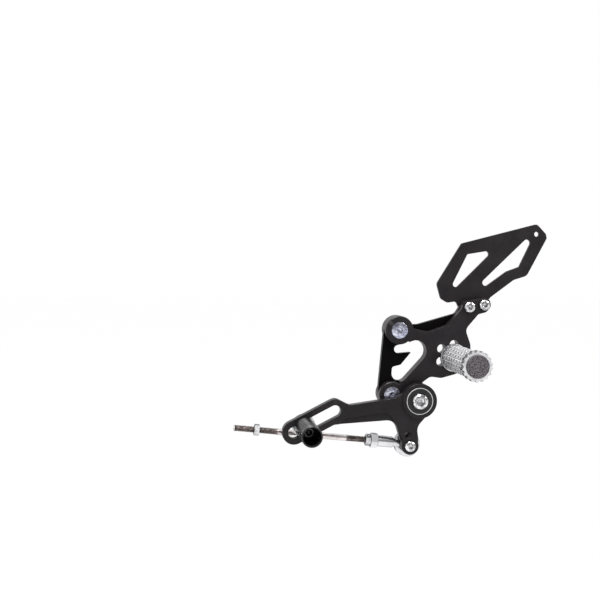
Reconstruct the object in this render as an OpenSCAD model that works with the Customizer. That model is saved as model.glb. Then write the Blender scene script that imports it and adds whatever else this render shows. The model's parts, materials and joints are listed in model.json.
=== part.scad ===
// Gear-shift side of a pair of motorbike rear sets: bracket, footpeg, heel guard,
// shift lever on a ball bearing, adjustable toe peg, and shift rod with a rod end.
// +X points to the rear of the bike, -Y away from the bike, +Z up.
// The origin is on the upper frame bolt's axis, where the bracket meets the frame.

/* [Bracket plate] */
// Thickness of the plate at its full-height areas
plate_t = 12; // [9:0.5:16]
// Depth of the milled pockets
pocket_depth = 7; // [3:0.5:7.5]
// How far the frame bosses stand out behind the plate
standoff = 6; // [4:0.5:12]
// Distance between the two frame bolts
bolt_spacing = 61.7; // [54:0.1:66]
// Lean of the frame bolt line from upright, in degrees
bolt_lean = 6; // [0:0.5:14]
// Diameter of the upper frame boss
upper_boss_d = 27; // [24:0.5:30]
// Diameter of the lower frame boss
lower_boss_d = 25; // [22:0.5:27]
// Diameter of the bracket's boss behind the lever pivot
pivot_boss_d = 31; // [26:0.5:34]
// Pivot's place behind the lower frame bolt
pivot_dx = 23.8; // [22:0.1:28]
// Pivot's drop below the lower frame bolt
pivot_drop = 4.5; // [2:0.1:9]

/* [Frame bolts] */
// Thread diameter of the frame bolts
frame_bolt_d = 8; // [6:1:8]
// Head diameter of the countersunk frame bolts
frame_head_d = 15.8; // [14:0.2:17]
// Length of each frame bolt over all
frame_bolt_len = 35; // [30:1:50]

/* [Footpeg] */
// Footpeg hole's place behind the upper frame bolt
peg_x = 52.5; // [48:0.5:56]
// Footpeg hole's drop below the upper frame bolt
peg_drop = 26; // [23:0.5:29]
// Length of the footpeg over all
peg_len = 72; // [60:1:90]
// Diameter of the gripping part
peg_d = 25; // [22:0.5:27]
// Diameter of the smooth shoulder at the root
shoulder_d = 26.5; // [24:0.5:28]
// Width of the smooth shoulder
shoulder_w = 4; // [3:0.5:8]
// Diameter of the scalloped collar at the outer end
collar_d = 28; // [26.5:0.5:33]
// Width of the scalloped collar
collar_w = 7; // [5:0.5:10]
// Grooves cut along the grip
grip_rows = 18; // [12:1:30]
// Grooves turned round the grip
grip_rings = 7; // [4:1:10]
// Depth of the grip's grooves
grip_depth = 1.1; // [0.6:0.1:1.4]
// Width of the grooves turned round the grip
ring_w = 1.6; // [0.8:0.1:2.4]
// Width of the relief at each end of the grip
relief_w = 0.8; // [0.4:0.1:1.2]
// Diameter of the end cap
cap_d = 21; // [17:0.5:22]
// How far the end cap stands proud of the footpeg
cap_proud = 1.6; // [0.6:0.2:3]
// Depth of the end cap's plug
cap_depth = 9; // [6:0.5:12]
// Thread diameter of the footpeg bolt
peg_bolt_d = 8; // [6:1:10]
// Diameter of the washer behind the bracket
peg_washer_d = 15; // [13:0.5:15]
// Pitch of the spare peg holes along their row
hole_row_pitch = 12.8; // [12:0.2:14]
// Rise of a row of peg holes, in degrees
hole_row_rise = 18; // [10:1:24]
// Pitch of the spare peg holes up their column
hole_column_pitch = 12.2; // [12:0.2:13]

/* [Heel guard] */
// Thickness of the heel guard
guard_t = 3; // [2:0.5:4]
// Front guard bolt's place behind the upper frame bolt
guard_x = 67.8; // [64:0.2:70]
// Front guard bolt's height above the upper frame bolt
guard_z = 21.9; // [20:0.1:24]
// Distance between the two guard bolts
guard_bolt_pitch = 14.6; // [14:0.1:16]
// Thread diameter of the guard bolts
guard_bolt_d = 6; // [4:1:6]
// Diameter of the small hole in the guard's upper corner
guard_hole_d = 4.8; // [3:0.1:6]

/* [Shift lever] */
// Thickness of the lever's arms
lever_t = 8; // [6:0.5:10]
// Gap between the bracket's face and the lever
lever_gap = 2; // [1:0.5:4]
// How far the pivot boss stands proud of the arms
boss_rise = 2; // [1:0.5:4]
// Diameter of the lever's pivot boss
lever_boss_d = 33; // [31:0.5:35]
// Diameter of the boss at the end of the short arm
end_boss_d = 16.4; // [14:0.2:18]
// Drop from the pivot to the rod end's bolt
arm_drop = 42.6; // [38:0.2:48]
// How far the rod end's bolt lies ahead of the pivot
arm_lead = 8.5; // [6:0.1:11]
// Depth of the step along the long arm's lower edge
step_depth = 1.5; // [0.5:0.1:3]
// Travel of the toe peg along its slot
slot_travel = 43; // [36:1:48]
// Rise of the slot towards the pivot, in degrees
slot_rise = 27.1; // [22:0.1:32]
// Width of the slot
slot_w = 11; // [9:0.2:12]
// Width of the rim round the slot
slot_rim = 5.5; // [4:0.5:7]
// From the pivot forward to the slot's upper end
slot_reach = 80.3; // [76:0.1:90]
// Drop from the pivot to the slot's upper end
slot_drop = 8.3; // [5:0.1:12]

/* [Pivot] */
// Bearing bore
bearing_bore = 10; // [8:1:10]
// Bearing outside diameter
bearing_d = 26; // [25:0.5:27]
// Bearing width
bearing_w = 8; // [7:0.5:8]
// Width of the outer ring's rim round each seal
bearing_rim = 1.0; // [0.8:0.1:1.2]
// Diameter of a bearing ball
ball_d = 4.76; // [4:0.02:4.8]
// Number of bearing balls
ball_count = 7; // [5:1:8]
// Head diameter of the pivot bolt
pivot_head_d = 16; // [15:0.5:17]
// Head height of the pivot bolt
pivot_head_h = 5; // [3:0.5:6]

/* [Toe peg] */
// Where the toe peg is set, measured up from the slot's lower end
toe_set = 11.2; // [4:0.2:30]
// Length of the toe peg
toe_len = 46; // [36:1:52]
// Diameter of the toe peg
toe_d = 19.2; // [15:0.2:21]
// Wall of the toe peg's open end
toe_wall = 1.5; // [1:0.1:2.5]
// Depth of the toe peg's open end
toe_bore_depth = 26; // [16:1:30]
// Pitch of the grooves turned round the toe peg
toe_groove_pitch = 3.6; // [2.4:0.2:5]
// Flange diameter of the slot nut behind the lever
slot_nut_d = 22; // [19:0.5:24]
// Flange thickness of the slot nut
slot_nut_t = 2.3; // [1.5:0.1:2.4]

/* [Shift rod] */
// Thread diameter of the rod and of the rod end's bolt
rod_d = 6; // [5:1:6]
// From the rod end's ball to the rod's free end
rod_reach = 166; // [150:1:190]
// Length of rod screwed into the rod end
rod_engaged = 14; // [10:1:18]
// Rise of the rod towards its free end, in degrees
rod_rise = 6.2; // [0:0.2:12]
// From the far lock nut's inner face to the rod's free end
far_nut_back = 24; // [18:1:40]
// Length of thread at the rod's free end
far_thread_len = 41.4; // [30:0.2:50]
// Length of thread at the rod end's side
near_thread_len = 37.7; // [30:0.1:44]
// Head diameter of the rod end
rod_end_d = 24.5; // [20:0.5:26]
// From the ball to the open end of the rod end's shank
rod_end_len = 35.6; // [33:0.2:40]
// Shank diameter of the rod end
shank_d = 10.5; // [9:0.5:11]
// Size across flats of the rod end's hexagon
shank_hex = 13; // [12:0.5:14]
// Length of the rod end's hexagon
shank_hex_len = 6.5; // [5:0.5:8]
// Diameter of the rod end's ball
joint_ball_d = 12.7; // [11.5:0.1:13]
// Width of the rod end's ball
joint_ball_w = 9; // [8:0.5:9]
// Washer between the lever and the ball
joint_washer_t = 1.5; // [1:0.1:3]

/* [Screws and nuts] */
// Head diameter of an M6 button screw
m6_head_d = 10.8; // [10:0.1:11.5]
// Head height of an M6 button screw
m6_head_h = 3.3; // [2.5:0.1:4]
// Size across flats of an M6 nut
m6_nut_af = 10; // [9:0.5:11]
// Height of an M6 nut
m6_nut_h = 5; // [4:0.5:6.5]

/* [Fits] */
// Radial clearance of a screw in its thread
thread_gap = 0.05; // [0.02:0.01:0.1]
// Radial clearance of a screw in a drilled hole
drill_gap = 0.3; // [0.1:0.1:0.5]
// Radial clearance of parts that turn or slide in each other
slip_gap = 0.06; // [0.02:0.01:0.1]

/* [Hidden] */
$fn = 64;

// Colours
black = [0.13, 0.12, 0.13];
steel = [0.80, 0.80, 0.82];
bright = [0.90, 0.90, 0.90];
rubber = [0.07, 0.07, 0.07];
zinc = [0.78, 0.72, 0.68];

// Planes across the part, from the frame outwards
plate_back = -standoff;
plate_front = plate_back - plate_t;
web_front = plate_front + pocket_depth;
lever_back = plate_front - lever_gap;
lever_front = lever_back - lever_t;
boss_front = lever_front - boss_rise;
guard_back = plate_back + guard_t;

// Places in the plane of the plate, as [x, z]
upper = [0, 0];
lower = bolt_spacing * [-sin(bolt_lean), -cos(bolt_lean)];
pivot = lower + [pivot_dx, -pivot_drop];
peg = [peg_x, -peg_drop];
guard_rise = 7.8;
guard_front = [guard_x, guard_z];
guard_rear = guard_front + guard_bolt_pitch * [cos(guard_rise), sin(guard_rise)];
arm_end = pivot + [-arm_lead, -arm_drop];
slot_dir = [cos(slot_rise), sin(slot_rise)];
slot_side = [-sin(slot_rise), cos(slot_rise)];
slot_high = pivot + [-slot_reach, -slot_drop];
slot_low = slot_high - slot_travel * slot_dir;
slot_r = slot_w / 2;
holder_r = slot_r + slot_rim;
frame_hole_d = frame_bolt_d + 2 * drill_gap;
toe = slot_low + toe_set * slot_dir;

// The spare peg holes, counted from the hole that the footpeg uses
hole_row = hole_row_pitch * [-cos(hole_row_rise), -sin(hole_row_rise)];
hole_column = hole_column_pitch * [0.05, 1];
spare_holes = [peg + hole_column, peg + hole_row, peg + hole_row + hole_column];

// Pivot stack, from the lever's face inwards
bearing_front = boss_front + 0.5;
bearing_back = bearing_front + bearing_w;
inner_ring_d = bearing_bore + 4.7;
outer_ring_bore = bearing_d - 4;
ball_track_r = (inner_ring_d + outer_ring_bore) / 4;
bearing_mid = (bearing_front + bearing_back) / 2;
seal_t = 0.8;
seal_set = 0.3;
seal_d = bearing_d - 2 * bearing_rim;
cage_half = bearing_w / 2 - seal_set - seal_t - 0.1;
pivot_thread_len = 10;

// Rod end stack
ball_front = lever_back + joint_washer_t;
ball_mid = ball_front + joint_ball_w / 2;
ball_back = ball_front + joint_ball_w;
race_d = joint_ball_d + 3.4;
head_w = 6.8;
far_nut_at = rod_reach - far_nut_back;
shank_cut = 0.08;
far_neck_cut = 0.4;
far_neck_w = 0.6;
frame_thread_start = 1;
frame_shank_r = frame_bolt_d / 2 - 0.4;

// Rounded outlines: each corner is [x, z, radius]
function unit(v) = v / norm(v);
function flat(p) = [p[0], p[1]];
function at(p, dx, dz, r = 0) = [p[0] + dx, p[1] + dz, r];
function fillet_arc(p, q, s, r, steps) =
    let (
        a = unit(p - q),
        b = unit(s - q),
        half = acos(max(-1, min(1, a * b))) / 2,
        reach = min(r / tan(half), 0.48 * min(norm(p - q), norm(s - q))),
        rr = reach * tan(half),
        c = q + unit(a + b) * rr / sin(half),
        from = q + a * reach - c,
        turn = cross(q - p, s - q) > 0 ? 1 : -1,
        start = atan2(from[1], from[0])
    )
    [for (i = [0:steps]) c + rr * [cos(start + turn * (180 - 2 * half) * i / steps),
                                   sin(start + turn * (180 - 2 * half) * i / steps)]];
function is_straight(p, q, s) = abs(cross(unit(q - p), unit(s - q))) < 0.001;
function corner(p, q, s, steps) =
    q[2] == 0 || is_straight(flat(p), flat(q), flat(s))
        ? [flat(q)]
        : fillet_arc(flat(p), flat(q), flat(s), q[2], steps);
function rounded(pts, steps = 6) =
    let (n = len(pts))
    [for (i = [0:n - 1]) each corner(pts[(i + n - 1) % n], pts[i], pts[(i + 1) % n], steps)];

// Outward normal of the tangent line that leaves one circle and meets the next
function tangent_normal(c1, r1, c2, r2) =
    let (
        d = unit(c2 - c1),
        lean = asin((r1 - r2) / norm(c2 - c1)),
        side = [d[1], -d[0]]
    )
    side * cos(lean) + d * sin(lean);

// Outline laid round circles [x, z, radius], anticlockwise, with tangent lines between them:
// a negative radius makes a hollow and 0 a sharp corner
function wrap_arc(c, from, to, steps) =
    let (
        turn = (to - from + 720) % 360,
        sweep = c[2] < 0 && turn > 0 ? turn - 360 : turn
    )
    [for (i = [0:steps]) let (a = from + sweep * i / steps) flat(c) + c[2] * [cos(a), sin(a)]];
function wrap(c, steps = 8) =
    let (
        n = len(c),
        aim = [for (i = [0:n - 1])
            let (q = c[(i + 1) % n], v = tangent_normal(flat(c[i]), c[i][2], flat(q), q[2])) atan2(v[1], v[0])]
    )
    [for (i = [0:n - 1])
        each (c[i][2] == 0 ? [flat(c[i])] : wrap_arc(c[i], aim[(i + n - 1) % n], aim[i], steps))];

// Basic solids across the plate: they run along Y between two planes
module slab(front, back) {
    translate([0, back, 0])
        rotate([90, 0, 0])
            linear_extrude(height = back - front)
                children();
}
module bar_at(p, d, front, back) {
    translate([p[0], back, p[1]])
        rotate([90, 0, 0])
            cylinder(d = d, h = back - front);
}
module cone_at(p, d_front, d_back, front, back) {
    translate([p[0], back, p[1]])
        rotate([90, 0, 0])
            cylinder(d1 = d_back, d2 = d_front, h = back - front);
}
// A disc with its front edge chamfered
module boss_at(p, d, front, back, edge = 0.8) {
    bar_at(p, d, front + edge, back);
    cone_at(p, d - 2 * edge, d, front, front + edge);
}
// A turned piece: its profile is [radius, y] with y along the axis
module turned_at(p, profile) {
    translate([p[0], 0, p[1]])
        rotate([90, 0, 0])
            rotate_extrude()
                polygon([for (q = profile) [q[0], -q[1]]]);
}
// Profile of a ball's skin between its two flats, as [radius, y]
function ball_profile(r, half) =
    let (limit = asin(half / r))
    [for (i = [-8:8]) [r * cos(limit * i / 8), ball_mid + r * sin(limit * i / 8)]];
module stadium(a, b, r) {
    hull() {
        translate(a) circle(r = r);
        translate(b) circle(r = r);
    }
}
// A hexagonal hole or nut outline along Y
module hex_at(p, af, front, back, spin = 0) {
    translate([p[0], back, p[1]])
        rotate([90, 0, 0])
            rotate([0, 0, spin])
                cylinder(d = af / cos(30), h = back - front, $fn = 6);
}

// A button screw with its seat at y = seat and its tip at y = tip
module button_screw(p, d, head_d, head_h, hex, seat, tip, spin = 0) {
    crown = head_d * 0.28;
    difference() {
        turned_at(p, [
            [0, seat - head_h],
            [crown, seat - head_h],
            for (i = [1:5]) [crown + (head_d / 2 - crown) * sin(18 * i), seat - head_h * cos(16 * i)],
            [head_d / 2, seat],
            [d / 2, seat],
            [d / 2, tip - 0.8],
            [d / 2 - 0.8, tip],
            [0, tip]
        ]);
        hex_at(p, hex, seat - head_h - 1, seat - head_h * 0.35, spin);
    }
}
// A hexagon nut with chamfered corners on both faces
module hex_nut(af, h, bore) {
    corner_r = af / 2 / cos(30);
    lost = corner_r - af / 2 + 0.2;
    difference() {
        intersection() {
            cylinder(r = corner_r, h = h, $fn = 6);
            rotate_extrude()
                polygon([
                    [0, 0], [af / 2 - 0.2, 0], [corner_r, lost * 0.6],
                    [corner_r, h - lost * 0.6], [af / 2 - 0.2, h], [0, h]
                ]);
        }
        translate([0, 0, -1]) cylinder(d = bore, h = h + 2);
    }
}
module nut_at(p, af, h, bore, front, spin = 0) {
    translate([p[0], front + h, p[1]])
        rotate([90, 0, 0])
            rotate([0, 0, spin])
                hex_nut(af, h, bore);
}

// Full-height areas of the bracket, before its window is cut
module raised_outline() {
    polygon(rounded([
        at(upper, 6, 6),
        at(upper, 14.8, 1.2, 3),
        at(upper, 28.6, -1.8, 14),
        at(peg, -6.3, 30.4, 1.2),
        at(guard_front, -7.6, -1.6, 6),
        at(guard_front, -5.4, 5.2, 5),
        at(guard_rear, 4.8, 6.6, 6),
        at(guard_rear, 6.9, -1, 4),
        at(guard_rear, 2.2, -6.9, 5),
        at(guard_rear, -5.6, -8.8, 3),
        at(peg, 11.5, 26.5, 7),
        at(peg, 16.7, 12.5, 12),
        at(peg, 17.1, 0.8, 16),
        at(peg, 10.9, -13.0, 12),
        at(peg, 1.2, -16.4, 10),
        at(peg, -11.5, -19.8, 10),
        at(peg, -22.4, -18.2, 7),
        at(pivot, 4.5, 15.5, 3),
        at(pivot, 8, 0),
        at(pivot, 0, -pivot_boss_d / 2 + 0.5),
        at(lower, 0, -lower_boss_d / 2 + 0.5),
        at(lower, -4, 0),
        at(lower, 6, 8),
        at(lower, 9, 16),
        at(upper, 16, -22),
        at(upper, 12, -14),
        at(upper, 5, -6)
    ]));
}
// Window through the plate, with the tab that reaches into it
module window_outline() {
    polygon(wrap([
        at(upper, 0.3, -18.5, 3.9),
        at(upper, 11.9, -22.0, -0.5),
        at(lower, 8.7, 29.0, -1.2),
        at(lower, 3.5, 23.8, 2.6),
        at(lower, 7.4, 19.7, 6.8),
        at(upper, 15.8, -20.0, 10.5),
        at(upper, 0, 0, -upper_boss_d / 2 - 0.7)
    ]));
}
// Thin bar between the frame bosses, and its tab
module bar_outline() {
    ru = upper_boss_d / 2;
    rl = lower_boss_d / 2;
    n = tangent_normal(upper, ru, lower, rl);
    polygon([upper, upper + ru * n, lower + rl * n, lower, lower + [12, 14], upper + [16, -22]]);
}
// Thin web along the top, from the upper boss to the guard's arm
module top_web_outline() {
    polygon(rounded([
        at(upper, 5, 6),
        at(upper, 12.6, 5.0, 3),
        at(upper, 19.5, 5.3, 8),
        at(peg, 3.5, 41.5, 6),
        at(guard_front, -6.5, 2.2, 2),
        at(guard_front, 2, -3),
        at(peg, 2, 22),
        at(peg, -26, 16)
    ]));
}

module bracket() {
    color(black)
    difference() {
        union() {
            difference() {
                union() {
                    slab(plate_front, plate_back) raised_outline();
                    slab(web_front, plate_back) {
                        bar_outline();
                        top_web_outline();
                    }
                }
                slab(plate_front - 1, plate_back + 1) window_outline();
            }
            boss_at(upper, upper_boss_d, plate_front, 0);
            boss_at(lower, lower_boss_d, plate_front, 0);
            boss_at(pivot, pivot_boss_d, plate_front, plate_back);
        }
        for (p = [upper, lower]) {
            bar_at(p, frame_hole_d, plate_front - 1, 1);
            cone_at(p, frame_head_d + 2, frame_hole_d, plate_front - 1,
                plate_front + (frame_head_d - frame_hole_d) / 2);
        }
        for (p = concat([peg], spare_holes))
            bar_at(p, peg_bolt_d + 2 * drill_gap, plate_front - 1, plate_back + 1);
        for (p = [guard_front, guard_rear])
            bar_at(p, guard_bolt_d + 2 * drill_gap, plate_front - 1, plate_back + 1);
        bar_at(pivot, bearing_bore + 2 * thread_gap, plate_front - 1, plate_back + 1);
    }
}

module frame_bolt(p) {
    neck = plate_front + frame_head_d / 2 - frame_shank_r;
    tip = plate_front + frame_bolt_len;
    color(steel)
    difference() {
        turned_at(p, [
            [0, plate_front], [frame_head_d / 2, plate_front], [frame_shank_r, neck],
            [frame_shank_r, frame_thread_start], [frame_bolt_d / 2, frame_thread_start],
            [frame_bolt_d / 2, tip - 1], [frame_bolt_d / 2 - 1, tip], [0, tip]
        ]);
        hex_at(p, frame_bolt_d * 0.62, plate_front - 1, plate_front + 3, 20);
    }
}
module upper_frame_bolt() { frame_bolt(upper); }
module lower_frame_bolt() { frame_bolt(lower); }

module guard_window_large() {
    polygon(wrap([
        at(guard_front, 1.5, 49.3, 1),
        at(guard_front, -10.3, 21.5, 2.9),
        at(guard_front, 19.2, 50.3, 2.9)
    ]));
}
module guard_window_small() {
    polygon(wrap([
        at(guard_front, 60.2, 61.4, 3.5),
        at(guard_front, 19.4, 23.0, 3.2),
        at(guard_front, 40.3, 33.8, 0),
        at(guard_front, 52.9, 38.3, 0)
    ]));
}
module heel_guard() {
    hole = [70.0, 70.1];
    color(black)
    difference() {
        slab(plate_back, guard_back)
            difference() {
                polygon(rounded([
                    at(guard_front, -5.1, 60.6, 1.5),
                    at(guard_front, 70.2, 79.9, 4),
                    at(guard_front, 79.5, 70.4, 3),
                    at(guard_front, 80.4, 66.1, 3),
                    at(guard_front, 60.8, 29.6, 7),
                    at(guard_front, 47.7, 25.6, 8),
                    at(guard_front, 23.0, 7.6, 8),
                    at(guard_rear, 6.4, -4, 5),
                    at(guard_front, 10, -6.4, 5),
                    at(guard_front, -5.4, -5.2, 4),
                    at(guard_front, -9.8, 4.8, 3),
                    at(guard_front, -18.5, 3.5, 4),
                    at(guard_front, -25.1, 7.4, 5),
                    at(guard_front, -29.2, 21.8, 5)
                ]));
                guard_window_large();
                guard_window_small();
            }
        for (p = [guard_front, guard_rear])
            bar_at(p, guard_bolt_d + 2 * drill_gap, plate_back - 1, guard_back + 1);
        bar_at(guard_front + hole, guard_hole_d, plate_back - 1, guard_back + 1);
    }
}
module guard_bolt(p, spin) {
    color(bright)
        button_screw(p, guard_bolt_d, m6_head_d, m6_head_h, 4, plate_front, guard_back + m6_nut_h + 1, spin);
}
module guard_bolt_front() { guard_bolt(guard_front, 10); }
module guard_bolt_rear() { guard_bolt(guard_rear, 35); }
module guard_nut(p) {
    color(steel)
        nut_at(p, m6_nut_af, m6_nut_h, guard_bolt_d + 2 * thread_gap, guard_back);
}
module guard_nut_front() { guard_nut(guard_front); }
module guard_nut_rear() { guard_nut(guard_rear); }

// The footpeg's turned body with its rings, before the rows are cut
peg_end = plate_front - peg_len;
grip_start = plate_front - shoulder_w;
grip_end = peg_end + collar_w;
ring_pitch = (grip_start - grip_end) / (grip_rings + 1);
relief = grip_depth + 0.1;
module footpeg_blank() {
    r = peg_d / 2;
    floor_r = r - grip_depth + 0.15;
    half = ring_w / 2;
    turned_at(peg, concat(
        [[0, plate_front], [shoulder_d / 2 - 0.8, plate_front], [shoulder_d / 2, plate_front - 0.8]],
        [[shoulder_d / 2, grip_start], [r - relief, grip_start]],
        [[r - relief, grip_start - relief_w], [r, grip_start - relief_w]],
        [for (i = [1:grip_rings]) let (y = grip_start - i * ring_pitch)
            each [[r, y + half], [floor_r, y + half], [floor_r, y - half], [r, y - half]]],
        [[r, grip_end + relief_w], [r - relief, grip_end + relief_w], [r - relief, grip_end]],
        [[collar_d / 2, grip_end], [collar_d / 2, peg_end], [0, peg_end]]
    ));
}
// One V-shaped groove along the peg: a square bar on its edge
module grip_groove() {
    side = grip_depth * sqrt(2);
    length = grip_start - grip_end - relief_w;
    translate([peg_d / 2, grip_start - relief_w / 2, 0])
        rotate([90, 0, 0])
            rotate([0, 0, 45])
                translate([-side / 2, -side / 2, 0]) cube([side, side, length]);
}
// One scallop in the collar's rim
module collar_scallop() {
    scallop_r = 0.36 * 3.14159 * collar_d / grip_rows;
    translate([collar_d / 2 + 0.3 * scallop_r, grip_end + 1, 0])
        rotate([90, 0, 0])
            cylinder(r = scallop_r, h = collar_w + 2, $fn = 24);
}
module footpeg() {
    color(bright)
    difference() {
        footpeg_blank();
        translate([peg[0], 0, peg[1]])
            for (i = [0:grip_rows - 1])
                rotate([0, i * 360 / grip_rows, 0]) {
                    grip_groove();
                    collar_scallop();
                }
        bar_at(peg, cap_d, peg_end - 1, peg_end + cap_depth + 1);
        bar_at(peg, peg_bolt_d + 2 * thread_gap, plate_front - 24, plate_front + 1);
    }
}
module footpeg_cap() {
    color(rubber)
    difference() {
        union() {
            bar_at(peg, cap_d - 2 * slip_gap, peg_end - cap_proud + 0.4, peg_end + cap_depth);
            cone_at(peg, cap_d - 1, cap_d - 2 * slip_gap, peg_end - cap_proud, peg_end - cap_proud + 0.4);
        }
        bar_at(peg, cap_d - 5, peg_end + 2.5, peg_end + cap_depth + 1);
    }
}
module footpeg_washer() {
    color(steel)
    difference() {
        bar_at(peg, peg_washer_d, plate_back, plate_back + 1.6);
        bar_at(peg, peg_bolt_d + 2 * drill_gap, plate_back - 1, plate_back + 3);
    }
}
// The footpeg's bolt comes from behind, so its head is the mirror of the others'
module footpeg_bolt() {
    seat = plate_back + 1.6;
    tip = plate_front - 20;
    head_h = peg_bolt_d * 0.5;
    color(steel)
    difference() {
        turned_at(peg, [
            [0, tip], [peg_bolt_d / 2 - 1, tip], [peg_bolt_d / 2, tip + 1], [peg_bolt_d / 2, seat],
            [peg_bolt_d * 0.8, seat], [peg_bolt_d * 0.8, seat + head_h - 0.8],
            [peg_bolt_d * 0.8 - 0.8, seat + head_h], [0, seat + head_h]
        ]);
        hex_at(peg, peg_bolt_d * 0.62, seat + 1, seat + head_h + 1);
    }
}

module pivot_bolt() {
    color(bright)
        button_screw(pivot, bearing_bore, pivot_head_d, pivot_head_h, 7, bearing_front,
            plate_front + pivot_thread_len, 15);
}
module pivot_spacer() {
    color(steel)
    difference() {
        bar_at(pivot, inner_ring_d, bearing_back, plate_front);
        bar_at(pivot, bearing_bore + 2 * thread_gap, bearing_back - 1, plate_front + 1);
    }
}
// A groove in which the balls run
module ball_track() {
    translate([pivot[0], bearing_mid, pivot[1]])
        rotate([90, 0, 0])
            rotate_extrude()
                translate([ball_track_r, 0]) circle(d = ball_d + 2 * slip_gap, $fn = 48);
}
module bearing_inner_ring() {
    color(steel)
    difference() {
        bar_at(pivot, inner_ring_d, bearing_front, bearing_back);
        bar_at(pivot, bearing_bore + 2 * thread_gap, bearing_front - 1, bearing_back + 1);
        ball_track();
    }
}
module bearing_outer_ring() {
    color(bright)
    difference() {
        boss_at(pivot, bearing_d, bearing_front, bearing_back, 0.3);
        bar_at(pivot, outer_ring_bore, bearing_front - 1, bearing_back + 1);
        bar_at(pivot, seal_d, bearing_front - 1, bearing_front + seal_set + seal_t);
        bar_at(pivot, seal_d, bearing_back - seal_set - seal_t, bearing_back + 1);
        ball_track();
    }
}
module at_each_ball() {
    for (i = [0:ball_count - 1])
        translate([pivot[0], bearing_mid, pivot[1]])
            rotate([0, i * 360 / ball_count, 0])
                translate([ball_track_r, 0, 0])
                    children();
}
module bearing_balls() {
    color(steel) at_each_ball() sphere(d = ball_d, $fn = 32);
}
module bearing_cage() {
    wall = 0.9;
    color(zinc)
    difference() {
        bar_at(pivot, 2 * ball_track_r + wall, bearing_mid - cage_half, bearing_mid + cage_half);
        bar_at(pivot, 2 * ball_track_r - wall, bearing_mid - bearing_w, bearing_mid + bearing_w);
        at_each_ball()
            translate([-2, 0, 0]) rotate([0, 90, 0]) cylinder(d = ball_d + 2 * slip_gap, h = 4);
    }
}
module bearing_seal(front) {
    color(rubber)
    difference() {
        bar_at(pivot, seal_d, front, front + seal_t);
        bar_at(pivot, inner_ring_d + 4 * slip_gap, front - 1, front + seal_t + 1);
    }
}
module bearing_seal_front() { bearing_seal(bearing_front + seal_set); }
module bearing_seal_rear() { bearing_seal(bearing_back - seal_set - seal_t); }

// Arms of the lever in one outline, without the slot holder and the bosses
module lever_outline() {
    edge = holder_r - 0.2;
    r_pivot = lever_boss_d / 2;
    r_end = end_boss_d / 2;
    polygon(rounded([
        concat(slot_high + edge * slot_side - 4 * slot_dir, [0]),
        concat(slot_high + (holder_r - 0.1) * slot_side + 5.6 * slot_dir, [7]),
        at(slot_high, 13.6, 5.4, 6),
        at(pivot, -37, 1.2, 16),
        at(pivot, -24, 3.0, 10),
        at(pivot, 2 - r_pivot, 7.4),
        at(pivot, 8, -6),
        at(pivot, 6.5, 1.7 - r_pivot),
        at(pivot, -2.2, -24.6, 12),
        concat(arm_end + [r_end - 0.5, 8], [6]),
        concat(arm_end + [r_end - 0.5, 0], [0]),
        concat(arm_end + [-r_end + 0.6, 2], [0]),
        at(pivot, -23.6, -17.6, 10),
        concat(slot_high - (holder_r - 0.1) * slot_side - 6.5 * slot_dir, [8]),
        concat(slot_high - edge * slot_side - 16 * slot_dir, [0])
    ]));
}
// Step milled along the lower edge of the long arm
module step_outline() {
    polygon(rounded([
        at(slot_high, 4.0, -11.6, 0),
        at(slot_high, 10.6, -7.0, 5),
        at(pivot, -41, -11.2, 20),
        at(pivot, -28.6, -10.4, 12),
        at(pivot, -22.4, -22.8, 10),
        at(arm_end, -7.4, 6, 0),
        at(arm_end, -18, 10, 0),
        at(slot_high, 4, -30, 0)
    ]));
}
module shift_lever() {
    lip = 2;
    color(black)
    difference() {
        union() {
            slab(lever_front, lever_back) {
                lever_outline();
                stadium(slot_low, slot_high, holder_r);
            }
            boss_at(pivot, lever_boss_d, boss_front, lever_back, 0.4);
            bar_at(arm_end, end_boss_d, lever_front, lever_back);
        }
        slab(lever_front - 1, lever_front + step_depth) step_outline();
        slab(lever_front - 1, lever_back + 1) stadium(slot_low, slot_high, slot_r);
        bar_at(pivot, bearing_d, boss_front - 1, bearing_back);
        bar_at(pivot, outer_ring_bore - lip, boss_front - 1, lever_back + 1);
        bar_at(arm_end, rod_d + 2 * thread_gap, lever_front - 1, lever_back + 1);
        bar_at(arm_end + [-2.3, 10.6], rod_d + 2 * thread_gap, lever_front - 1, lever_back + 1);
    }
}

module rod_end_bolt() {
    color(bright)
        button_screw(arm_end, rod_d, m6_head_d, m6_head_h, 4, lever_front, ball_back + m6_nut_h + 1, 5);
}
module rod_end_washer() {
    color(steel)
    difference() {
        cone_at(arm_end, joint_ball_w + 1.5, joint_ball_w, lever_back, ball_front);
        bar_at(arm_end, rod_d + 2 * thread_gap, lever_back - 1, ball_front + 1);
    }
}
module rod_end_ball() {
    color(bright)
        turned_at(arm_end, concat(
            [[rod_d / 2 + thread_gap, ball_front]],
            ball_profile(joint_ball_d / 2, joint_ball_w / 2),
            [[rod_d / 2 + thread_gap, ball_back]]
        ));
}
module rod_end_nut() {
    color(steel)
        nut_at(arm_end, m6_nut_af, m6_nut_h, rod_d + 2 * thread_gap, ball_back, 12);
}

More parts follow.
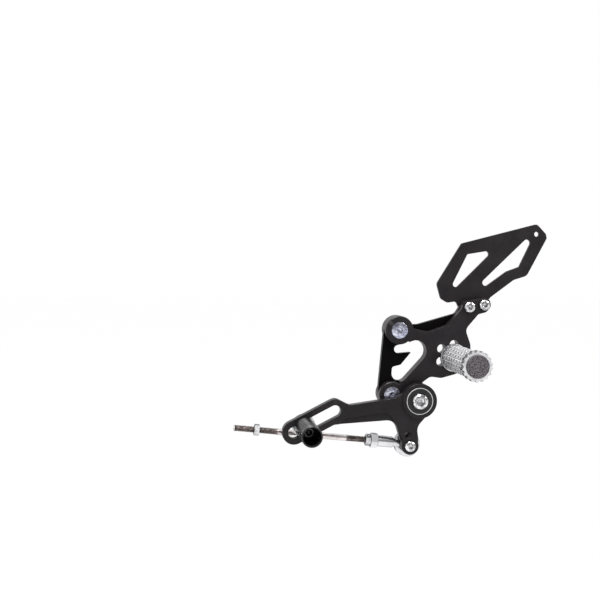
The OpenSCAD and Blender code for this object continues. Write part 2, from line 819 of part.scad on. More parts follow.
module toe_peg() {
    end = lever_front - toe_len;
    grooves = floor((toe_len - 6) / toe_groove_pitch);
    r = toe_d / 2;
    color(rubber)
    difference() {
        turned_at(toe, concat(
            [[0, lever_front], [r - 1, lever_front], [r, lever_front - 1]],
            [for (i = [1:grooves]) let (y = lever_front - 1.5 - i * toe_groove_pitch)
                each [[r, y + 0.6], [r - 0.6, y], [r, y - 0.6]]],
            [[r, end + 0.6], [r - 0.6, end], [0, end]]
        ));
        bar_at(toe, toe_d - 2 * toe_wall, end - 1, end + toe_bore_depth);
        bar_at(toe, rod_d + 2 * thread_gap, end, lever_front + 1);
    }
}
module toe_peg_bolt() {
    seat = lever_front - toe_len + toe_bore_depth;
    tip = lever_back + slot_nut_t - 0.3;
    r = rod_d / 2;
    color(steel)
    difference() {
        turned_at(toe, [
            [0, seat - rod_d], [4.4, seat - rod_d], [5, seat - rod_d + 0.6], [5, seat], [r, seat],
            [r, tip - 0.6], [r - 0.6, tip], [0, tip]
        ]);
        hex_at(toe, 5, seat - rod_d - 1, seat - 2.5, 8);
    }
}
module toe_slot_nut() {
    color(steel)
    difference() {
        union() {
            bar_at(toe, slot_nut_d, lever_back, lever_back + slot_nut_t);
            bar_at(toe, slot_w - 2 * slip_gap, lever_front + 0.4, lever_back);
        }
        bar_at(toe, rod_d + 2 * thread_gap, lever_front, lever_back + slot_nut_t + 1);
    }
}

// Pieces on the rod are drawn along local +Z, from the ball outwards
module on_rod() {
    translate([arm_end[0], ball_mid, arm_end[1]])
        rotate([0, rod_rise - 90, 0])
            children();
}
module rod_end_body() {
    hex_at_z = rod_end_len - shank_hex_len;
    color(bright)
    difference() {
        union() {
            bar_at(arm_end, rod_end_d, ball_mid - head_w / 2, ball_mid + head_w / 2);
            on_rod() {
                cylinder(d = shank_d - 1.5, h = hex_at_z);
                translate([0, 0, rod_end_d / 2 + 2]) cylinder(d = shank_d, h = hex_at_z - rod_end_d / 2 - 2);
                translate([0, 0, hex_at_z])
                    rotate([0, 0, 30])
                        hex_nut(shank_hex, shank_hex_len, rod_d);
            }
        }
        bar_at(arm_end, race_d, ball_mid - head_w, ball_mid + head_w);
        on_rod()
            translate([0, 0, rod_end_len - rod_engaged - 2]) cylinder(d = rod_d + 2 * thread_gap, h = 60);
    }
}
module rod_end_race() {
    half = head_w / 2 - 0.3;
    color(zinc)
        turned_at(arm_end, concat(
            [[race_d / 2, ball_mid - half]],
            ball_profile(joint_ball_d / 2 + slip_gap, half),
            [[race_d / 2, ball_mid + half]]
        ));
}
module rod_lock_nut() {
    color(steel)
        on_rod()
            translate([0, 0, rod_end_len]) hex_nut(m6_nut_af, m6_nut_h, rod_d + 2 * thread_gap);
}
module shift_rod() {
    start = rod_end_len - rod_engaged;
    r = rod_d / 2;
    neck = far_nut_at + m6_nut_h;
    color(zinc)
        on_rod()
            rotate_extrude()
                polygon([
                    [0, start], [r, start],
                    [r, start + near_thread_len], [r - shank_cut, start + near_thread_len],
                    [r - shank_cut, rod_reach - far_thread_len], [r, rod_reach - far_thread_len],
                    [r, neck], [r - far_neck_cut, neck], [r - far_neck_cut, neck + far_neck_w], [r, neck + far_neck_w],
                    [r, rod_reach - 0.8], [r - 0.8, rod_reach], [0, rod_reach]
                ]);
}
module far_lock_nut() {
    color(steel)
        on_rod()
            translate([0, 0, far_nut_at])
                rotate([0, 0, 30])
                    hex_nut(m6_nut_af, m6_nut_h, rod_d + 2 * thread_gap);
}

bracket();
upper_frame_bolt();
lower_frame_bolt();
heel_guard();
guard_bolt_front();
guard_bolt_rear();
guard_nut_front();
guard_nut_rear();
footpeg();
footpeg_cap();
footpeg_bolt();
footpeg_washer();
pivot_bolt();
pivot_spacer();
bearing_inner_ring();
shift_lever();
bearing_outer_ring();
bearing_balls();
bearing_cage();
bearing_seal_front();
bearing_seal_rear();
rod_end_bolt();
rod_end_washer();
rod_end_ball();
rod_end_nut();
toe_peg();
toe_peg_bolt();
toe_slot_nut();
rod_end_body();
rod_end_race();
rod_lock_nut();
shift_rod();
far_lock_nut();
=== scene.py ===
"""Looks of a motorbike rear set, gear-shift side: finishes, threads, sockets, floor, light and camera."""
import json
import math

import bpy
from mathutils import Matrix, Vector


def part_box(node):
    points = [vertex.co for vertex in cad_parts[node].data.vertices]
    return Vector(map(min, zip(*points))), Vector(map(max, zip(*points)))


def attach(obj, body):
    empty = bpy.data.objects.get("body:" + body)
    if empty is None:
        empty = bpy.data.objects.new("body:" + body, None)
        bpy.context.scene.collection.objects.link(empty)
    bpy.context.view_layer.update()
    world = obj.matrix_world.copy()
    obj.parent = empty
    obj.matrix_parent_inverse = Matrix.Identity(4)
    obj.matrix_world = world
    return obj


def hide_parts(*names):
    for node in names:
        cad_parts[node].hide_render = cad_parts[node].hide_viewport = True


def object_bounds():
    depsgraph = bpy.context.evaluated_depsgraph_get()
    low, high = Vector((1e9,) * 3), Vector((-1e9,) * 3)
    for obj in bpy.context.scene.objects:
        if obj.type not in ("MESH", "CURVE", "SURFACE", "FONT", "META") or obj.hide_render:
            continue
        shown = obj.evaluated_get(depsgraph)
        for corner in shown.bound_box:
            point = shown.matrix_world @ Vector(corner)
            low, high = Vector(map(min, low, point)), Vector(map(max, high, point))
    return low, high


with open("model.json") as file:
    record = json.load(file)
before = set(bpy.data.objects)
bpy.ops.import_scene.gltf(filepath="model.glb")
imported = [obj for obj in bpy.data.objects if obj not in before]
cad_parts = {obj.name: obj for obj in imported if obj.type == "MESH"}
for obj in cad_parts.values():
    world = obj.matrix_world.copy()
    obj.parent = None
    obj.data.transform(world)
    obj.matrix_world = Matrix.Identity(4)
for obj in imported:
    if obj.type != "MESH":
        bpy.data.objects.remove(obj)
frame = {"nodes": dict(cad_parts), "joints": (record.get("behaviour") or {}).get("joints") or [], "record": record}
cad_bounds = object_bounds()
nodes = frame["nodes"]
mounts = {m["name"]: m for m in frame["record"]["mounts"]}
joints = {j["name"]: j for j in frame["joints"]}
MM = 0.001

# Camera, placed so that the part fills the frame as in the photograph
CAMERA_PLACE = Vector((-0.2130, -0.8747, 0.0751))
CAMERA_RIGHT = Vector((0.99073, -0.13567, 0.00734))
CAMERA_UP = Vector((0.0, 0.05406, 0.99854))
CAMERA_LENS = 56.0
CAMERA_SENSOR = 36
CAMERA_NEAR = 0.01

# Floor: its drop below the part, half its width, and how white it is where it is seen
FLOOR_DROP = 0.16
FLOOR_REACH = 6.0
FLOOR_COLOUR = (0.92, 0.92, 0.92)
FLOOR_ROUGHNESS = 0.9
WHITE_SHARE = 0.97
WHITE_STRENGTH = 1.015

# Room: its light all round, and how bright it is in reflections in front of and behind the part
AMBIENT = 0.30
ROOM_FRONT = 0.25
ROOM_BACK = 1.0
ROOM_LEAN = (-0.25, 0.85, 0.45)

# Lamps: name, place, width and power
LAMPS = (
    ("key", (-0.25, -0.45, 1.5), 0.6, 36),
    ("fill", (-1.4, -0.7, 0.2), 0.7, 2),
    ("side", (0.9, -0.5, 0.6), 0.4, 9),
)

# The footpeg's shoulder and collar in millimetres, and its ribs and rings
PEG_SHOULDER = 4
PEG_COLLAR = 7
PEG_ROWS = 18
PEG_RINGS = 7
# Half the width and length of a painted shade mark where a ring crosses a rib, as a share of the ribs' and the
# rings' spacing
CROSSING_SHADE_WIDTH = 0.20
CROSSING_SHADE_LENGTH = 0.14

# The depths in metres between which the floors of the bracket's pockets lie
POCKET_SHALLOW = -0.0125
POCKET_DEEP = -0.0090

# Points round a turned piece, and the angles in degrees above which edges stay sharp
AROUND = 48
SHARP_ANGLE = 32
ROD_SHARP_ANGLE = 50

# Threads: rings in a turn, depth and runout in pitches, and the slope and flat crest of the flanks
THREAD_STEPS = 6
THREAD_DEPTH = 0.61
THREAD_RUNOUT = 1.5
THREAD_SLOPE = 1.18
THREAD_CREST = 0.09
# A screw's end: length of the tip and gap before the thread in millimetres, depth of the core in pitches
THREAD_TIP = 0.9
THREAD_GAP = 0.01
THREAD_CORE = 0.62

# Sockets: drill mark's width and depth as shares of the socket's, and the rim's depth and chamfer
SOCKET_DRILL = 0.55
SOCKET_CONE = 0.12
SOCKET_RIM = 0.35
SOCKET_CHAMFER = 0.5

# Edge break under a screw's head, and those of the machined plates, in millimetres
HEAD_FOOT_BREAK = 0.2
EDGE_BREAKS = {"bracket": 0.22, "heel_guard": 0.18, "shift_lever": 0.22}
EDGE_ANGLE = 35
EDGE_SEGMENTS = 2
WELD_REACH = 0.000002

# Colours that finishes share. The tint is how much metal reflects where it is seen edge on
EDGE_TINT = (0.22, 0.22, 0.24)
# The next colour is painted shade, laid into grooves and gaps
CREVICE_SHADE = (0.03, 0.03, 0.03)
BARE_EDGE = (0.12, 0.115, 0.12)
# The next colour is painted shade where the footpeg's rings cross its ribs
RING_CROSSING_SHADE = (0.09, 0.09, 0.095)
# Painted shade on the floors of the bracket's pockets: how much darker in colour and duller in sheen they are than
# its front
POCKET_SHADE = 0.3
POCKET_SHEEN = 0.15
# Roughness of every noise, and how far milling and turning marks are drawn out
NOISE_ROUGHNESS = 0.55
MILLING_STRETCH = (1, 1, 0.06)
TURNING_STRETCH = 0.04

# Finishes: dark and light are the ends of the staining, blotch and grain_scale count marks in a metre,
# dent, reach and grain_depth are in metres, and open_at is where grooves end; reach and open_at shape the painted
# shade in grooves and gaps
ANODISED = {
    "black_anodised": {
        "dark": (0.0095, 0.0080, 0.0090), "light": (0.0150, 0.0128, 0.0142),
        "roughness": 0.36, "sheen": 0.22},
    "black_gloss": {
        "dark": (0.0055, 0.0050, 0.0055), "light": (0.0095, 0.0088, 0.0095),
        "roughness": 0.20, "sheen": 0.13},
}
METALS = {
    "silver_bolt": {
        "dark": (0.28, 0.29, 0.41), "light": (0.86, 0.87, 0.98), "roughness": 0.24,
        "blotch": 520, "dent": 0.0002},
    "bright_steel": {
        "dark": (0.34, 0.34, 0.35), "light": (0.92, 0.92, 0.93), "roughness": 0.18,
        "blotch": 330, "dent": 0.0003},
    # zinc_steel's long reach paints shade over a bolt that sits deep in its bore
    "zinc_steel": {
        "dark": (0.46, 0.46, 0.47), "light": (0.78, 0.78, 0.80), "roughness": 0.26,
        "blotch": 240, "dent": 0.0002, "reach": 0.03, "open_at": 0.55},
    "bearing_steel": {
        "dark": (0.55, 0.55, 0.56), "light": (0.82, 0.82, 0.83), "roughness": 0.17, "turned_along": "Y"},
    "brass_cage": {"dark": (0.45, 0.33, 0.16), "light": (0.70, 0.54, 0.28), "roughness": 0.30},
    "chrome_steel": {"dark": (0.64, 0.64, 0.66), "light": (0.86, 0.86, 0.88), "roughness": 0.20},
    "brown_liner": {"dark": (0.16, 0.09, 0.05), "light": (0.32, 0.20, 0.12), "roughness": 0.40},
    "zinc_rod": {"dark": (0.66, 0.60, 0.59), "light": (0.94, 0.87, 0.86), "roughness": 0.28, "blotch": 160},
    "brown_thread": {
        "dark": (0.17, 0.145, 0.14), "light": (0.46, 0.41, 0.39), "roughness": 0.36,
        "blotch": 500, "open_at": 0.7},
}
MOULDED = {
    "dark_plastic": {
        "dark": (0.020, 0.017, 0.019), "light": (0.190, 0.165, 0.185), "roughness": 0.44,
        "grain_scale": 1150, "grain_depth": 0.0004},
    "seal_rubber": {
        "dark": (0.006, 0.006, 0.006), "light": (0.014, 0.014, 0.014), "roughness": 0.50,
        "grain_scale": 2200, "grain_depth": 0.00005},
}


# Nodes of a material or of the world

def start_material(name):
    """A new material with its node tree and its shader."""
    material = bpy.data.materials.new(name)
    material.use_nodes = True
    tree = material.node_tree
    shader = tree.nodes["Principled BSDF"]
    return material, tree, shader


def feed(tree, socket, value):
    """Links a value into a socket, or sets the socket where the value is a plain number or colour."""
    if isinstance(value, tuple):
        socket.default_value = (*value, 1)
    elif isinstance(value, (int, float)):
        socket.default_value = value
    else:
        tree.links.new(value, socket)


def place(tree, stretch=(1, 1, 1)):
    """Coordinates of the shared frame in metres, stretched along its axes."""
    coords = tree.nodes.new("ShaderNodeTexCoord")
    mapping = tree.nodes.new("ShaderNodeMapping")
    mapping.inputs["Scale"].default_value = stretch
    tree.links.new(coords.outputs["Object"], mapping.inputs["Vector"])
    return mapping.outputs["Vector"]


def noise(tree, vector, scale, detail):
    """A noise value over the surface."""
    node = tree.nodes.new("ShaderNodeTexNoise")
    node.inputs["Scale"].default_value = scale
    node.inputs["Detail"].default_value = detail
    node.inputs["Roughness"].default_value = NOISE_ROUGHNESS
    tree.links.new(vector, node.inputs["Vector"])
    return node.outputs["Fac"]


def spread(tree, value, low, high, from_low=0.3, from_high=0.7):
    """A value mapped from one range to another."""
    node = tree.nodes.new("ShaderNodeMapRange")
    node.inputs["From Min"].default_value = from_low
    node.inputs["From Max"].default_value = from_high
    node.inputs["To Min"].default_value = low
    node.inputs["To Max"].default_value = high
    tree.links.new(value, node.inputs["Value"])
    return node.outputs["Result"]


def colours(tree, value, first, last):
    """A ramp between two colours over a value: each end is (position, colour)."""
    node = tree.nodes.new("ShaderNodeValToRGB")
    for element, (position, colour) in zip(node.color_ramp.elements, (first, last)):
        element.position = position
        element.color = (*colour, 1)
    tree.links.new(value, node.inputs["Fac"])
    return node.outputs["Color"]


def add_bump(tree, shader, height, distance, strength):
    """A bump over the surface, with its height in metres, on top of any bump the shader has."""
    node = tree.nodes.new("ShaderNodeBump")
    node.inputs["Distance"].default_value = distance
    node.inputs["Strength"].default_value = strength
    tree.links.new(height, node.inputs["Height"])
    normal = shader.inputs["Normal"]
    if normal.is_linked:
        tree.links.new(normal.links[0].from_socket, node.inputs["Normal"])
    tree.links.new(node.outputs["Normal"], normal)


def calculate(tree, operation, first, second):
    """The result of a sum on two values."""
    node = tree.nodes.new("ShaderNodeMath")
    node.operation = operation
    feed(tree, node.inputs[0], first)
    feed(tree, node.inputs[1], second)
    return node.outputs[0]


def blend(tree, factor, first, second, kind="RGBA"):
    """A colour between two others, or with the kind FLOAT a number between two others."""
    mix = tree.nodes.new("ShaderNodeMix")
    mix.data_type = kind
    tree.links.new(factor, mix.inputs["Factor"])
    feed(tree, mix.inputs["A"], first)
    feed(tree, mix.inputs["B"], second)
    return mix.outputs["Result"]


def part_of(tree, vector, axis):
    """One coordinate of a vector."""
    node = tree.nodes.new("ShaderNodeSeparateXYZ")
    tree.links.new(vector, node.inputs["Vector"])
    return node.outputs[axis]


def rays(tree, first, *others):
    """1 for the kinds of ray named, and 0 for any other."""
    path = tree.nodes.new("ShaderNodeLightPath")
    chosen = path.outputs[first]
    for kind in others:
        chosen = calculate(tree, "MAXIMUM", chosen, path.outputs[kind])
    return chosen


# Masks, wear and painted shade

def worn_edges(tree, colour):
    """Bare metal showing through where the surface turns sharply."""
    geometry = tree.nodes.new("ShaderNodeNewGeometry")
    edge = spread(tree, geometry.outputs["Pointiness"], 0.0, 0.25, from_low=0.53, from_high=0.60)
    return blend(tree, edge, colour, BARE_EDGE)


def openness(tree, reach, closed_at, open_at):
    """A mask for painted shade: 1 where the surface lies open and 0 in its grooves and gaps, as far as a reach in
    metres.
    """
    gap = tree.nodes.new("ShaderNodeAmbientOcclusion")
    gap.samples = 6
    gap.inputs["Distance"].default_value = reach
    return spread(tree, gap.outputs["AO"], 0, 1, closed_at, open_at)


def painted_crevice_shade(tree, colour, reach, open_at):
    """A colour darkened by painted shade in grooves and gaps, as far as a reach in metres."""
    return blend(tree, openness(tree, reach, closed_at=0.25, open_at=open_at), CREVICE_SHADE, colour)


def near(tree, value, whole, reach):
    """1 where a value lies within a reach of a whole number of steps, and 0 elsewhere."""
    offset = calculate(tree, "PINGPONG", calculate(tree, "DIVIDE", value, whole), 0.5)
    return calculate(tree, "LESS_THAN", offset, reach)


def grip_masks(tree):
    """Two masks: the peg's grip, and the places where its rings cut through its ribs, which get painted shade."""
    low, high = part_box("footpeg")
    middle = (low + high) / 2
    spot = place(tree)
    across = calculate(tree, "SUBTRACT", part_of(tree, spot, "X"), middle.x)
    up = calculate(tree, "SUBTRACT", part_of(tree, spot, "Z"), middle.z)
    along = calculate(tree, "SUBTRACT", high.y - PEG_SHOULDER * MM, part_of(tree, spot, "Y"))
    pitch = ((high.y - low.y) / MM - PEG_SHOULDER - PEG_COLLAR) / (PEG_RINGS + 1) * MM
    turn = calculate(tree, "ADD", calculate(tree, "ARCTAN2", up, across), math.pi / PEG_ROWS)
    on_rib = near(tree, turn, 2 * math.pi / PEG_ROWS, CROSSING_SHADE_WIDTH)
    on_ring = near(tree, along, pitch, CROSSING_SHADE_LENGTH)
    past_shoulder = calculate(tree, "GREATER_THAN", along, 0.5 * pitch)
    before_collar = calculate(tree, "LESS_THAN", along, (PEG_RINGS + 0.5) * pitch)
    inside = calculate(tree, "MULTIPLY", past_shoulder, before_collar)
    return inside, calculate(tree, "MULTIPLY", inside, calculate(tree, "MULTIPLY", on_rib, on_ring))


def pocket_shade_mask(tree):
    """Mask for painted shade: 1 on the floors of the bracket's milled pockets, which lie deeper than its front,
    and 0 elsewhere.
    """
    depth = part_of(tree, place(tree), "Y")
    geometry = tree.nodes.new("ShaderNodeNewGeometry")
    lean = part_of(tree, geometry.outputs["Normal"], "Y")
    facing = spread(tree, lean, 1, 0, from_low=-0.9, from_high=-0.6)
    behind = calculate(tree, "GREATER_THAN", depth, POCKET_SHALLOW)
    ahead = calculate(tree, "LESS_THAN", depth, POCKET_DEEP)
    return calculate(tree, "MULTIPLY", calculate(tree, "MULTIPLY", behind, ahead), facing)


def turning_marks(tree, shader, turned_along):
    """Fine marks of the lathe round an axis."""
    stretch = [1 if axis == turned_along else TURNING_STRETCH for axis in "XYZ"]
    marks = noise(tree, place(tree, stretch), scale=2400, detail=2)
    add_bump(tree, shader, marks, distance=0.00003, strength=0.6)


# Finishes

def anodised(name, dark, light, roughness, sheen):
    """Black anodised aluminium: fine blasted grain and faint milling marks, with painted shade that darkens and
    dulls its pocket floors and dims its sheen in grooves.
    """
    material, tree, shader = start_material(name)
    cloud = noise(tree, place(tree), scale=55, detail=5)
    body = colours(tree, cloud, (0.30, dark), (0.72, light))
    floor = pocket_shade_mask(tree)
    # painted shade: the pocket floors darkened in colour
    body = blend(tree, floor, body, tuple(POCKET_SHADE * c for c in dark))
    feed(tree, shader.inputs["Base Color"], worn_edges(tree, body))
    feed(tree, shader.inputs["Roughness"], spread(tree, cloud, roughness - 0.05, roughness + 0.08))
    # painted shade on the sheen: dimmed on the pocket floors and in grooves and gaps
    shaded_sheen = spread(tree, floor, sheen, POCKET_SHEEN * sheen, from_low=0, from_high=1)
    shaded_sheen = calculate(tree, "MULTIPLY", shaded_sheen, openness(tree, reach=0.0012, closed_at=0.35, open_at=0.9))
    shader.inputs["Specular IOR Level"].default_value = sheen
    feed(tree, shader.inputs["Specular IOR Level"], shaded_sheen)
    grain = noise(tree, place(tree), scale=2600, detail=3)
    add_bump(tree, shader, grain, distance=0.00004, strength=0.5)
    milling = noise(tree, place(tree, MILLING_STRETCH), scale=700, detail=2)
    add_bump(tree, shader, milling, distance=0.00001, strength=0.3)
    return material


def bright_metal(name, dark, light, roughness, turned_along=None, blotch=90, dent=0.0,
                 reach=0.0016, open_at=0.85):
    """Bare or plated metal, with slight staining, dents, painted shade in its grooves and gaps and, where it is
    turned, marks round an axis.
    """
    material, tree, shader = start_material(name)
    shader.inputs["Metallic"].default_value = 1.0
    shader.inputs["Specular Tint"].default_value = (*EDGE_TINT, 1)
    cloud = noise(tree, place(tree), scale=blotch, detail=5)
    stained = colours(tree, cloud, (0.38, dark), (0.60, light))
    # painted shade: the stained colour darkens in grooves and gaps
    feed(tree, shader.inputs["Base Color"], painted_crevice_shade(tree, stained, reach, open_at))
    if dent:
        add_bump(tree, shader, noise(tree, place(tree), scale=0.8 * blotch, detail=2), dent, strength=1.0)
    fine = noise(tree, place(tree), scale=1800, detail=3)
    feed(tree, shader.inputs["Roughness"], spread(tree, fine, roughness - 0.06, roughness + 0.08))
    if turned_along is None:
        add_bump(tree, shader, fine, distance=0.00003, strength=0.4)
    else:
        turning_marks(tree, shader, turned_along)
    return material


def machined_aluminium():
    """Bright turned aluminium, duller on the peg's grip, with painted shade in its grooves and painted shade marks
    where its rings cut its ribs.
    """
    material, tree, shader = start_material("machined_aluminium")
    grip, marks = grip_masks(tree)
    feed(tree, shader.inputs["Metallic"], spread(tree, grip, 0.95, 0.8, from_low=0, from_high=1))
    shader.inputs["Specular Tint"].default_value = (*EDGE_TINT, 1)
    cloud = noise(tree, place(tree), scale=260, detail=4)
    colour = colours(tree, cloud, (0.40, (0.68, 0.68, 0.70)), (0.56, (0.87, 0.87, 0.88)))
    # painted shade in the grooves and gaps
    colour = painted_crevice_shade(tree, colour, reach=0.0010, open_at=0.75)
    # painted shade marks where the rings cross the ribs
    feed(tree, shader.inputs["Base Color"], blend(tree, marks, colour, RING_CROSSING_SHADE))
    feed(tree, shader.inputs["Roughness"], spread(tree, grip, 0.25, 0.55, from_low=0, from_high=1))
    turning_marks(tree, shader, "Y")
    return material


def moulded(name, dark, light, roughness, grain_scale, grain_depth):
    """Moulded plastic or rubber with a pebbled grain."""
    material, tree, shader = start_material(name)
    cells = tree.nodes.new("ShaderNodeTexVoronoi")
    cells.inputs["Scale"].default_value = grain_scale
    tree.links.new(place(tree), cells.inputs["Vector"])
    pebbled = colours(tree, cells.outputs["Distance"], (0.15, light), (0.65, dark))
    feed(tree, shader.inputs["Base Color"], pebbled)
    cloud = noise(tree, place(tree), scale=400, detail=3)
    feed(tree, shader.inputs["Roughness"], spread(tree, cloud, roughness - 0.06, roughness + 0.06))
    add_bump(tree, shader, cells.outputs["Distance"], grain_depth, strength=0.8)
    return material


finish = {"machined_aluminium": machined_aluminium()}
for make, looks in ((anodised, ANODISED), (bright_metal, METALS), (moulded, MOULDED)):
    for title, look in looks.items():
        finish[title] = make(title, **look)


# Turned pieces: every ring has the same number of points, so that a hexagon can pass into a circle

def circle(radius):
    """A radius at every angle of a round ring."""
    return [radius] * AROUND


def hexagon(across_flats):
    """The radius at every angle of a hexagonal ring."""
    angles = [360 * i / AROUND for i in range(AROUND)]
    return [across_flats / 2 / math.cos(math.radians(a % 60 - 30)) for a in angles]


def thread(radius, pitch, start, end):
    """Rings of a cut thread between two heights, running out at its start."""
    depth = THREAD_DEPTH * pitch
    count = int((end - start) / pitch * THREAD_STEPS)
    rings = []
    for k in range(count + 1):
        z = start + (end - start) * k / count
        fade = min(1.0, (z - start) / (THREAD_RUNOUT * pitch))
        ring = []
        for i in range(AROUND):
            phase = (z / pitch - i / AROUND) % 1.0
            flank = 1 - abs(2 * phase - 1)
            cut = min(1.0, max(0.0, THREAD_SLOPE * flank - THREAD_CREST))
            ring.append(radius - depth * fade * cut)
        rings.append((ring, z))
    return rings


def turned(name, rings, origin, axis, spin=0.0):
    """A closed mesh through rings of (radii, height along the axis), in millimetres."""
    vertices = []
    faces = []
    for radii, height in rings:
        for i, radius in enumerate(radii):
            angle = math.radians(360 * i / AROUND + spin)
            vertices.append((radius * math.cos(angle) * MM, radius * math.sin(angle) * MM, height * MM))
    for k in range(len(rings) - 1):
        low = k * AROUND
        high = (k + 1) * AROUND
        for i in range(AROUND):
            j = (i + 1) % AROUND
            faces.append((low + i, low + j, high + j, high + i))
    for k, reverse in ((0, True), (len(rings) - 1, False)):
        vertices.append((0, 0, rings[k][1] * MM))
        centre = len(vertices) - 1
        for i in range(AROUND):
            pair = (k * AROUND + i, k * AROUND + (i + 1) % AROUND)
            faces.append((centre, *reversed(pair)) if reverse else (centre, *pair))
    mesh = bpy.data.meshes.new(name)
    mesh.from_pydata(vertices, [], faces)
    turn = Vector(axis).to_track_quat("Z", "Y").to_matrix().to_4x4()
    mesh.transform(Matrix.Translation(origin) @ turn)
    mesh.update()
    piece = bpy.data.objects.new(name, mesh)
    bpy.context.scene.collection.objects.link(piece)
    return piece


def shade(piece, angle=SHARP_ANGLE):
    """Smooth shading, with edges sharper than an angle kept."""
    for polygon in piece.data.polygons:
        polygon.use_smooth = True
    piece.data.set_sharp_from_angle(angle=math.radians(angle))


def dress(piece, slot, *more):
    """Gives a piece its finish, and further finishes for its other material slots."""
    piece.data.materials.clear()
    for name in (slot, *more):
        piece.data.materials.append(finish[name])


# Screws

def button_head(radius, height, shank):
    """Profile of a domed head, from its socket's rim to its shank."""
    crown = 0.56 * radius
    dome = 0.86 * height
    rim = 0.93 * height
    profile = []
    for degrees in range(0, 91, 10):
        angle = math.radians(degrees)
        profile.append((crown + (radius - crown) * math.sin(angle), dome * (1 - math.cos(angle))))
    return profile + [(radius, rim), (radius - HEAD_FOOT_BREAK, height), (shank, height)]


def sink_head(radius, height, shank):
    """Profile of a countersunk head."""
    chamfer, chamfer_depth, edge = 0.5, 0.25, 0.6
    return [(radius - chamfer, 0), (radius, chamfer_depth), (radius, edge), (shank, height)]


def cap_head(radius, height, shank):
    """Profile of a straight-sided head."""
    chamfer, chamfer_depth = 0.7, 0.6
    foot = [(radius, height - HEAD_FOOT_BREAK), (radius - HEAD_FOOT_BREAK, height), (shank, height)]
    return [(radius - chamfer, 0), (radius, chamfer_depth)] + foot


def screw(head, radius, height, shank, socket, socket_depth, pitch, thread_radius=None):
    """A screw's sizes in millimetres. The head's profile is a list of (radius, distance from its top)."""
    return {
        "profile": head(radius, height, shank),
        "under_head": height,
        "shank": shank,
        "socket": socket,
        "socket_depth": socket_depth,
        "pitch": pitch,
        "thread": thread_radius or shank,
    }


def replace_screw(node, body, slot, sizes, plain, spin, outward=-1, shank_slot=None):
    """A screw along Y with a hexagon socket and a cut thread, in the place of its CAD solid.

    plain is how much of the shank has no thread, spin turns the socket, outward is the way along Y that
    the head faces, and shank_slot is the finish of the shank where it isn't the head's.
    """
    low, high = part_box(node)
    middle = (low + high) / 2
    top = low.y if outward < 0 else high.y
    length = (high.y - low.y) / MM
    socket = sizes["socket"]
    socket_depth = sizes["socket_depth"]
    thread_start = sizes["under_head"] + plain
    rings = [
        (hexagon(socket * SOCKET_DRILL), socket_depth + socket * SOCKET_CONE),
        (hexagon(socket), socket_depth),
        (hexagon(socket), SOCKET_RIM),
        (hexagon(socket + SOCKET_CHAMFER), sizes["profile"][0][1]),
    ]
    rings += [(circle(radius), depth) for radius, depth in sizes["profile"]]
    rings.append((circle(sizes["shank"]), thread_start))
    rings += thread(sizes["thread"], sizes["pitch"], thread_start + THREAD_GAP, length - THREAD_TIP)
    rings.append((circle(sizes["thread"] - THREAD_CORE * sizes["pitch"]), length))
    piece = turned(node + "_screw", rings, (middle.x, top, middle.z), (0, -outward, 0), spin)
    shade(piece)
    dress(piece, slot, shank_slot or slot)
    for polygon in piece.data.polygons:
        if abs(polygon.center.y - top) > sizes["under_head"] * MM:
            polygon.material_index = 1
    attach(piece, body)
    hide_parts(node)


def make_screws():
    """Every screw that shows, with its socket and thread."""
    sunk = screw(sink_head, radius=7.9, height=4.3, shank=3.6, socket=5.0, socket_depth=2.6, pitch=1.25,
                 thread_radius=4.0)
    small = screw(button_head, radius=5.4, height=3.3, shank=3.0, socket=4.0, socket_depth=2.0, pitch=1.0)
    large = screw(button_head, radius=8.0, height=5.0, shank=5.0, socket=7.0, socket_depth=3.2, pitch=1.5)
    toe = screw(cap_head, radius=5.0, height=6.0, shank=3.0, socket=5.0, socket_depth=3.4, pitch=1.0)
    peg = screw(cap_head, radius=6.4, height=4.0, shank=4.0, socket=5.0, socket_depth=2.6, pitch=1.25)
    for node, spin in (("upper_frame_bolt", 12), ("lower_frame_bolt", 41)):
        replace_screw(node, "root", "silver_bolt", sunk, plain=14.6, spin=spin, shank_slot="zinc_steel")
    for node, spin in (("guard_bolt_front", 10), ("guard_bolt_rear", 33)):
        replace_screw(node, "root", "bright_steel", small, plain=5, spin=spin)
    replace_screw("rod_end_bolt", "lever", "bright_steel", small, plain=12, spin=5)
    replace_screw("pivot_bolt", "root", "bright_steel", large, plain=11.5, spin=15)
    replace_screw("toe_peg_bolt", "toe", "zinc_steel", toe, plain=8, spin=8)
    replace_screw("footpeg_bolt", "root", "zinc_steel", peg, plain=10, spin=20, outward=1)


def make_rod():
    """The shift rod with a cut thread at each end and a plain middle."""
    swing = joints["rod_swing"]["pos_m"]
    axis = Vector(mounts["shift_rod_thread"]["axis"])
    near_start, near_end, far_start, far_end = 21.7, 59.3, 124.6, 165.3
    near_tip, shoulder, far_tip = 0.1, 0.4, 0.7
    radius, pitch, core, plain = 3.0, 1.0, 2.3, 2.92
    close = [(ring, near_end - (z - near_start)) for ring, z in thread(radius, pitch, near_start, near_end)]
    rings = [(circle(core), near_start - near_tip)] + close[::-1]
    rings += [(circle(plain), near_end + shoulder), (circle(plain), far_start - shoulder)]
    rings += thread(radius, pitch, far_start, far_end)
    rings.append((circle(core), far_end + far_tip))
    piece = turned("shift_rod_threaded", rings, swing, axis)
    shade(piece, ROD_SHARP_ANGLE)
    dress(piece, "zinc_rod", "brown_thread")
    for polygon in piece.data.polygons:
        along = (polygon.center - Vector(swing)).dot(axis) / MM
        if near_start < along < near_end or far_start < along < far_end:
            polygon.material_index = 1
    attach(piece, "rod")
    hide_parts("shift_rod")


# Finish of the CAD nodes

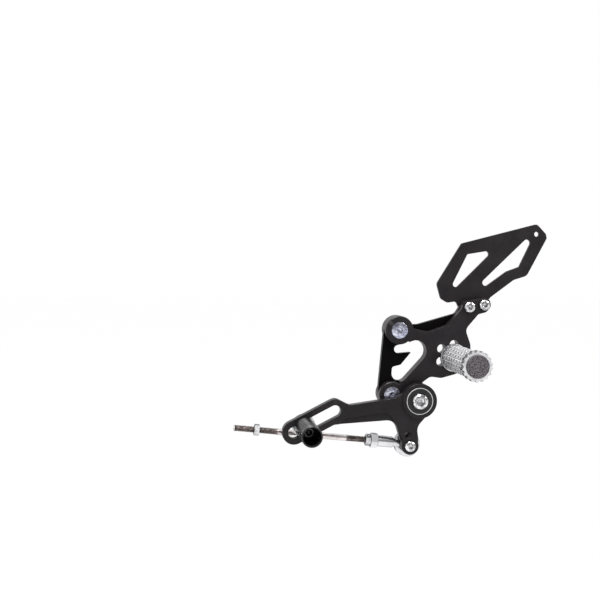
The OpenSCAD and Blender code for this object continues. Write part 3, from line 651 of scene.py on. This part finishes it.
def soften(piece, width):
    """A small machined edge break on a CAD node."""
    weld = piece.modifiers.new("weld", "WELD")
    weld.merge_threshold = WELD_REACH
    bevel = piece.modifiers.new("edge_break", "BEVEL")
    bevel.width = width * MM
    bevel.segments = EDGE_SEGMENTS
    bevel.limit_method = "ANGLE"
    bevel.angle_limit = math.radians(EDGE_ANGLE)
    bevel.use_clamp_overlap = False
    normals = piece.modifiers.new("flat_faces", "WEIGHTED_NORMAL")
    normals.weight = 100
    normals.keep_sharp = True


def finish_nodes():
    """The material of every CAD node, from the record's slots, and the edge breaks of the plates."""
    for entry in frame["record"]["subparts"]:
        piece = nodes[entry["node"]]
        dress(piece, entry["material_slot"])
        shade(piece)
    for node, width in EDGE_BREAKS.items():
        soften(nodes[node], width)


# Floor, light and camera

def make_floor():
    """A plain pale floor that keeps a soft shadow."""
    height = cad_bounds[0][2] - FLOOR_DROP
    corners = [(-1, -1), (1, -1), (1, 1), (-1, 1)]
    mesh = bpy.data.meshes.new("floor")
    mesh.from_pydata([(x * FLOOR_REACH, y * FLOOR_REACH, height) for x, y in corners], [], [(0, 1, 2, 3)])
    floor = bpy.data.objects.new("floor", mesh)
    bpy.context.scene.collection.objects.link(floor)
    material, tree, shader = start_material("floor")
    shader.inputs["Base Color"].default_value = (*FLOOR_COLOUR, 1)
    shader.inputs["Roughness"].default_value = FLOOR_ROUGHNESS
    white = tree.nodes.new("ShaderNodeEmission")
    white.inputs["Strength"].default_value = WHITE_STRENGTH
    seen = rays(tree, "Is Camera Ray", "Is Glossy Ray", "Is Transmission Ray")
    mix = tree.nodes.new("ShaderNodeMixShader")
    tree.links.new(calculate(tree, "MULTIPLY", seen, WHITE_SHARE), mix.inputs["Fac"])
    tree.links.new(shader.outputs["BSDF"], mix.inputs[1])
    tree.links.new(white.outputs["Emission"], mix.inputs[2])
    tree.links.new(mix.outputs["Shader"], tree.nodes["Material Output"].inputs["Surface"])
    mesh.materials.append(material)


def make_world():
    """White behind the part, for the camera and in reflections, and a dimmer room in front of it."""
    world = bpy.data.worlds.new("studio")
    bpy.context.scene.world = world
    world.use_nodes = True
    tree = world.node_tree
    background = tree.nodes["Background"]
    background.inputs["Color"].default_value = (1, 1, 1, 1)
    coords = tree.nodes.new("ShaderNodeTexCoord")
    lean = tree.nodes.new("ShaderNodeVectorMath")
    lean.operation = "DOT_PRODUCT"
    lean.inputs[1].default_value = ROOM_LEAN
    tree.links.new(coords.outputs["Generated"], lean.inputs[0])
    room = spread(tree, lean.outputs["Value"], ROOM_FRONT, ROOM_BACK, from_low=-0.6, from_high=0.1)
    mirrored = rays(tree, "Is Glossy Ray", "Is Transmission Ray")
    light = blend(tree, mirrored, AMBIENT, room, "FLOAT")
    strength = blend(tree, rays(tree, "Is Camera Ray"), light, 1.0, "FLOAT")
    tree.links.new(strength, background.inputs["Strength"])


def make_light(name, place_at, aim_at, size, power):
    """A soft square lamp."""
    lamp = bpy.data.lights.new(name, "AREA")
    lamp.size = size
    lamp.energy = power
    holder = bpy.data.objects.new(name, lamp)
    bpy.context.scene.collection.objects.link(holder)
    holder.location = place_at
    holder.rotation_euler = (Vector(aim_at) - Vector(place_at)).to_track_quat("-Z", "Y").to_euler()


def make_lights():
    """Overhead key from the left, a low fill from the left and a weak one from the right."""
    middle = (Vector(cad_bounds[0]) + Vector(cad_bounds[1])) / 2
    for name, place_at, size, power in LAMPS:
        make_light(name, place_at, middle, size, power)


def make_camera():
    """The photograph's view."""
    camera = bpy.data.cameras.new("camera")
    camera.lens = CAMERA_LENS
    camera.sensor_width = CAMERA_SENSOR
    camera.clip_start = CAMERA_NEAR
    holder = bpy.data.objects.new("camera", camera)
    bpy.context.scene.collection.objects.link(holder)
    back = CAMERA_RIGHT.cross(CAMERA_UP)
    turn = Matrix((CAMERA_RIGHT, CAMERA_UP, back)).transposed()
    holder.matrix_world = Matrix.Translation(CAMERA_PLACE) @ turn.to_4x4()
    bpy.context.scene.camera = holder


finish_nodes()
make_screws()
make_rod()
make_floor()
make_world()
make_lights()
make_camera()
bpy.context.scene.view_settings.view_transform = "Standard"
